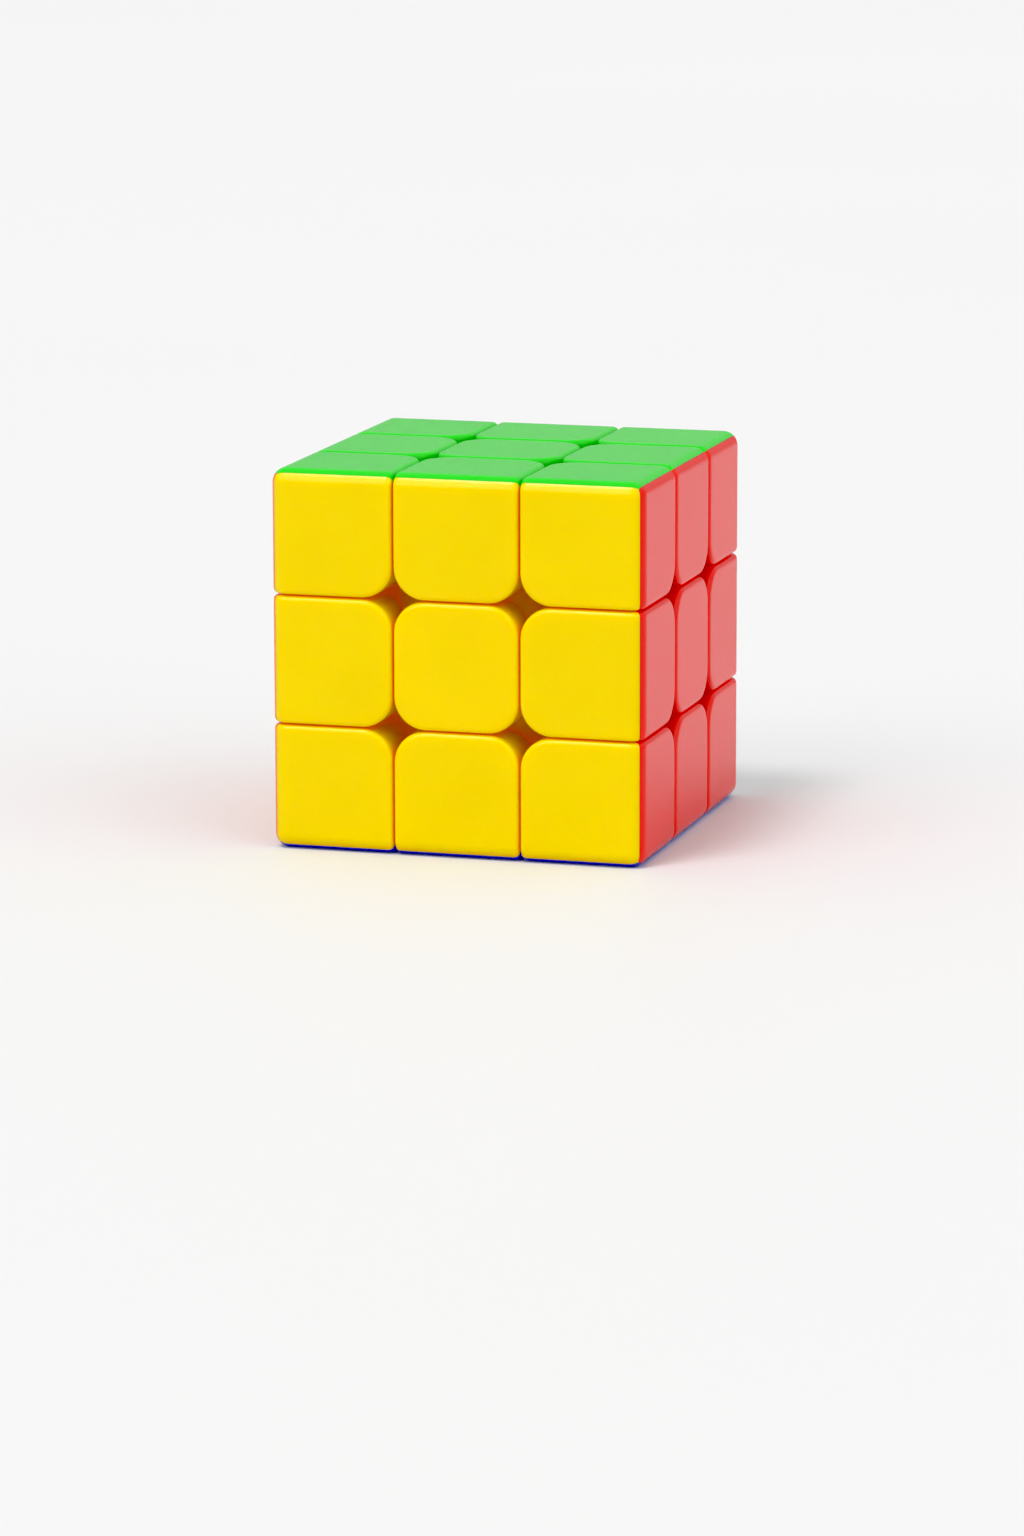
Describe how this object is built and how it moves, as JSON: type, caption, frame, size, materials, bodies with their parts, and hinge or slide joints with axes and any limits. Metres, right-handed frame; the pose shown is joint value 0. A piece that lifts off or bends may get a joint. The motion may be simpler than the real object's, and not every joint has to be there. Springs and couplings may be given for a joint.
{
  "type": "twisty puzzle cube",
  "caption": "Stickerless 3x3x3 twisty puzzle cube, 56 mm, with turning faces, two-part edges, sprung centres, screws and core as separate pieces.",
  "frame": {"origin": "the cube's centre, where all turning axes meet", "axes": "+Z out of the green top, -Y out of the yellow front, +X out of the red right side"},
  "size_m": [0.056, 0.056, 0.056],
  "materials": {
    "yellow_plastic": "satin",
    "green_plastic": "satin",
    "red_plastic": "satin",
    "orange_plastic": "satin",
    "blue_plastic": "satin",
    "white_plastic": "satin",
    "core_plastic": "satin",
    "steel": "polished"
  },
  "bodies": {
    "core": {"core": "core_plastic", "tension_screw_top": "steel", "tension_screw_bottom": "steel", "tension_screw_front": "steel", "tension_screw_back": "steel", "tension_screw_left": "steel", "tension_screw_right": "steel"},
    "centre_top": {"centre_hub_top": "green_plastic", "centre_cap_top": "green_plastic", "tension_spring_top": "steel"},
    "centre_bottom": {"centre_hub_bottom": "blue_plastic", "centre_cap_bottom": "blue_plastic", "tension_spring_bottom": "steel"},
    "centre_front": {"centre_hub_front": "yellow_plastic", "centre_cap_front": "yellow_plastic", "tension_spring_front": "steel"},
    "centre_back": {"centre_hub_back": "white_plastic", "centre_cap_back": "white_plastic", "tension_spring_back": "steel"},
    "centre_left": {"centre_hub_left": "orange_plastic", "centre_cap_left": "orange_plastic", "tension_spring_left": "steel"},
    "centre_right": {"centre_hub_right": "red_plastic", "centre_cap_right": "red_plastic", "tension_spring_right": "steel"},
    "edge_top_front": {"edge_top_front_green_shell": "green_plastic", "edge_top_front_yellow_shell": "yellow_plastic"},
    "edge_top_back": {"edge_top_back_green_shell": "green_plastic", "edge_top_back_white_shell": "white_plastic"},
    "edge_top_left": {"edge_top_left_green_shell": "green_plastic", "edge_top_left_orange_shell": "orange_plastic"},
    "edge_top_right": {"edge_top_right_green_shell": "green_plastic", "edge_top_right_red_shell": "red_plastic"},
    "edge_bottom_front": {"edge_bottom_front_blue_shell": "blue_plastic", "edge_bottom_front_yellow_shell": "yellow_plastic"},
    "edge_bottom_back": {"edge_bottom_back_blue_shell": "blue_plastic", "edge_bottom_back_white_shell": "white_plastic"},
    "edge_bottom_left": {"edge_bottom_left_blue_shell": "blue_plastic", "edge_bottom_left_orange_shell": "orange_plastic"},
    "edge_bottom_right": {"edge_bottom_right_blue_shell": "blue_plastic", "edge_bottom_right_red_shell": "red_plastic"},
    "edge_front_left": {"edge_front_left_yellow_shell": "yellow_plastic", "edge_front_left_orange_shell": "orange_plastic"},
    "edge_front_right": {"edge_front_right_yellow_shell": "yellow_plastic", "edge_front_right_red_shell": "red_plastic"},
    "edge_back_left": {"edge_back_left_white_shell": "white_plastic", "edge_back_left_orange_shell": "orange_plastic"},
    "edge_back_right": {"edge_back_right_white_shell": "white_plastic", "edge_back_right_red_shell": "red_plastic"},
    "corner_top_front_left": {"corner_top_front_left": "green_plastic"},
    "corner_top_front_right": {"corner_top_front_right": "green_plastic"},
    "corner_top_back_left": {"corner_top_back_left": "green_plastic"},
    "corner_top_back_right": {"corner_top_back_right": "green_plastic"},
    "corner_bottom_front_left": {"corner_bottom_front_left": "blue_plastic"},
    "corner_bottom_front_right": {"corner_bottom_front_right": "blue_plastic"},
    "corner_bottom_back_left": {"corner_bottom_back_left": "blue_plastic"},
    "corner_bottom_back_right": {"corner_bottom_back_right": "blue_plastic"}
  },
  "joints": [
    {"name": "top_turn", "type": "hinge", "parent": "core", "child": "centre_top", "pos_m": [0, 0, 0], "axis": [0, 0, 1], "continuous": true},
    {"name": "bottom_turn", "type": "hinge", "parent": "core", "child": "centre_bottom", "pos_m": [0, 0, 0], "axis": [0, 0, -1], "continuous": true},
    {"name": "front_turn", "type": "hinge", "parent": "core", "child": "centre_front", "pos_m": [0, 0, 0], "axis": [0, -1, 0], "continuous": true},
    {"name": "back_turn", "type": "hinge", "parent": "core", "child": "centre_back", "pos_m": [0, 0, 0], "axis": [0, 1, 0], "continuous": true},
    {"name": "left_turn", "type": "hinge", "parent": "core", "child": "centre_left", "pos_m": [0, 0, 0], "axis": [-1, 0, 0], "continuous": true},
    {"name": "right_turn", "type": "hinge", "parent": "core", "child": "centre_right", "pos_m": [0, 0, 0], "axis": [1, 0, 0], "continuous": true},
    {"name": "edge_top_front_with_front", "type": "hinge", "parent": "centre_top", "child": "edge_top_front", "pos_m": [0, 0, 0], "axis": [0, -1, 0], "continuous": true},
    {"name": "edge_top_back_with_back", "type": "hinge", "parent": "centre_top", "child": "edge_top_back", "pos_m": [0, 0, 0], "axis": [0, 1, 0], "continuous": true},
    {"name": "edge_top_left_with_top", "type": "hinge", "parent": "centre_left", "child": "edge_top_left", "pos_m": [0, 0, 0], "axis": [0, 0, 1], "continuous": true},
    {"name": "edge_top_right_with_top", "type": "hinge", "parent": "centre_right", "child": "edge_top_right", "pos_m": [0, 0, 0], "axis": [0, 0, 1], "continuous": true},
    {"name": "edge_bottom_front_with_front", "type": "hinge", "parent": "centre_bottom", "child": "edge_bottom_front", "pos_m": [0, 0, 0], "axis": [0, -1, 0], "continuous": true},
    {"name": "edge_bottom_back_with_back", "type": "hinge", "parent": "centre_bottom", "child": "edge_bottom_back", "pos_m": [0, 0, 0], "axis": [0, 1, 0], "continuous": true},
    {"name": "edge_bottom_left_with_bottom", "type": "hinge", "parent": "centre_left", "child": "edge_bottom_left", "pos_m": [0, 0, 0], "axis": [0, 0, -1], "continuous": true},
    {"name": "edge_bottom_right_with_bottom", "type": "hinge", "parent": "centre_right", "child": "edge_bottom_right", "pos_m": [0, 0, 0], "axis": [0, 0, -1], "continuous": true},
    {"name": "edge_front_left_with_left", "type": "hinge", "parent": "centre_front", "child": "edge_front_left", "pos_m": [0, 0, 0], "axis": [-1, 0, 0], "continuous": true},
    {"name": "edge_front_right_with_right", "type": "hinge", "parent": "centre_front", "child": "edge_front_right", "pos_m": [0, 0, 0], "axis": [1, 0, 0], "continuous": true},
    {"name": "edge_back_left_with_left", "type": "hinge", "parent": "centre_back", "child": "edge_back_left", "pos_m": [0, 0, 0], "axis": [-1, 0, 0], "continuous": true},
    {"name": "edge_back_right_with_right", "type": "hinge", "parent": "centre_back", "child": "edge_back_right", "pos_m": [0, 0, 0], "axis": [1, 0, 0], "continuous": true},
    {"name": "corner_top_front_left_with_top", "type": "hinge", "parent": "edge_front_left", "child": "corner_top_front_left", "pos_m": [0, 0, 0], "axis": [0, 0, 1], "continuous": true},
    {"name": "corner_top_front_right_with_top", "type": "hinge", "parent": "edge_front_right", "child": "corner_top_front_right", "pos_m": [0, 0, 0], "axis": [0, 0, 1], "continuous": true},
    {"name": "corner_top_back_left_with_top", "type": "hinge", "parent": "edge_back_left", "child": "corner_top_back_left", "pos_m": [0, 0, 0], "axis": [0, 0, 1], "continuous": true},
    {"name": "corner_top_back_right_with_top", "type": "hinge", "parent": "edge_back_right", "child": "corner_top_back_right", "pos_m": [0, 0, 0], "axis": [0, 0, 1], "continuous": true},
    {"name": "corner_bottom_front_left_with_bottom", "type": "hinge", "parent": "edge_front_left", "child": "corner_bottom_front_left", "pos_m": [0, 0, 0], "axis": [0, 0, -1], "continuous": true},
    {"name": "corner_bottom_front_right_with_bottom", "type": "hinge", "parent": "edge_front_right", "child": "corner_bottom_front_right", "pos_m": [0, 0, 0], "axis": [0, 0, -1], "continuous": true},
    {"name": "corner_bottom_back_left_with_bottom", "type": "hinge", "parent": "edge_back_left", "child": "corner_bottom_back_left", "pos_m": [0, 0, 0], "axis": [0, 0, -1], "continuous": true},
    {"name": "corner_bottom_back_right_with_bottom", "type": "hinge", "parent": "edge_back_right", "child": "corner_bottom_back_right", "pos_m": [0, 0, 0], "axis": [0, 0, -1], "continuous": true}
  ],
  "couplings": [
    {"joint": "edge_top_front_with_front", "follows": "front_turn", "ratio": 1},
    {"joint": "edge_top_back_with_back", "follows": "back_turn", "ratio": 1},
    {"joint": "edge_top_left_with_top", "follows": "top_turn", "ratio": 1},
    {"joint": "edge_top_right_with_top", "follows": "top_turn", "ratio": 1},
    {"joint": "edge_bottom_front_with_front", "follows": "front_turn", "ratio": 1},
    {"joint": "edge_bottom_back_with_back", "follows": "back_turn", "ratio": 1},
    {"joint": "edge_bottom_left_with_bottom", "follows": "bottom_turn", "ratio": 1},
    {"joint": "edge_bottom_right_with_bottom", "follows": "bottom_turn", "ratio": 1},
    {"joint": "edge_front_left_with_left", "follows": "left_turn", "ratio": 1},
    {"joint": "edge_front_right_with_right", "follows": "right_turn", "ratio": 1},
    {"joint": "edge_back_left_with_left", "follows": "left_turn", "ratio": 1},
    {"joint": "edge_back_right_with_right", "follows": "right_turn", "ratio": 1},
    {"joint": "corner_top_front_left_with_top", "follows": "top_turn", "ratio": 1},
    {"joint": "corner_top_front_right_with_top", "follows": "top_turn", "ratio": 1},
    {"joint": "corner_top_back_left_with_top", "follows": "top_turn", "ratio": 1},
    {"joint": "corner_top_back_right_with_top", "follows": "top_turn", "ratio": 1},
    {"joint": "corner_bottom_front_left_with_bottom", "follows": "bottom_turn", "ratio": 1},
    {"joint": "corner_bottom_front_right_with_bottom", "follows": "bottom_turn", "ratio": 1},
    {"joint": "corner_bottom_back_left_with_bottom", "follows": "bottom_turn", "ratio": 1},
    {"joint": "corner_bottom_back_right_with_bottom", "follows": "bottom_turn", "ratio": 1}
  ]
}
